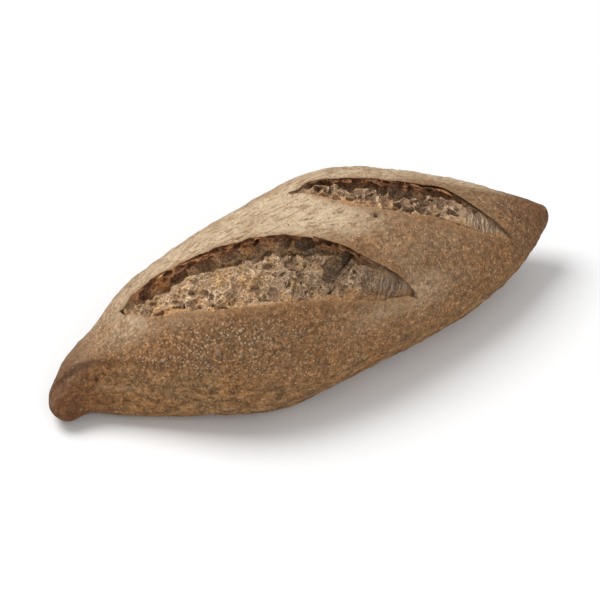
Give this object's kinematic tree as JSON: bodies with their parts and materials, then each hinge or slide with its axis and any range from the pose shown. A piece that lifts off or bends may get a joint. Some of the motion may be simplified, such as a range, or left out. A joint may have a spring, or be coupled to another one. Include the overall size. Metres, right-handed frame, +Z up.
{
  "type": "whole wheat roll",
  "caption": "Hand shaped whole wheat bread roll with pointed ends and slanting cuts across the top that opened as it baked and show the crumb; eaten as bread.",
  "frame": {"origin": "middle of the bounding box's bottom, on the surface that the roll rests on", "axes": "+X from the folded end to the pointed end, +Y away from the side with the fold, +Z up"},
  "size_m": [0.1601, 0.0656, 0.045],
  "materials": {
    "crust": null
  },
  "bodies": {
    "root": {"roll": "crust"}
  },
  "joints": []
}
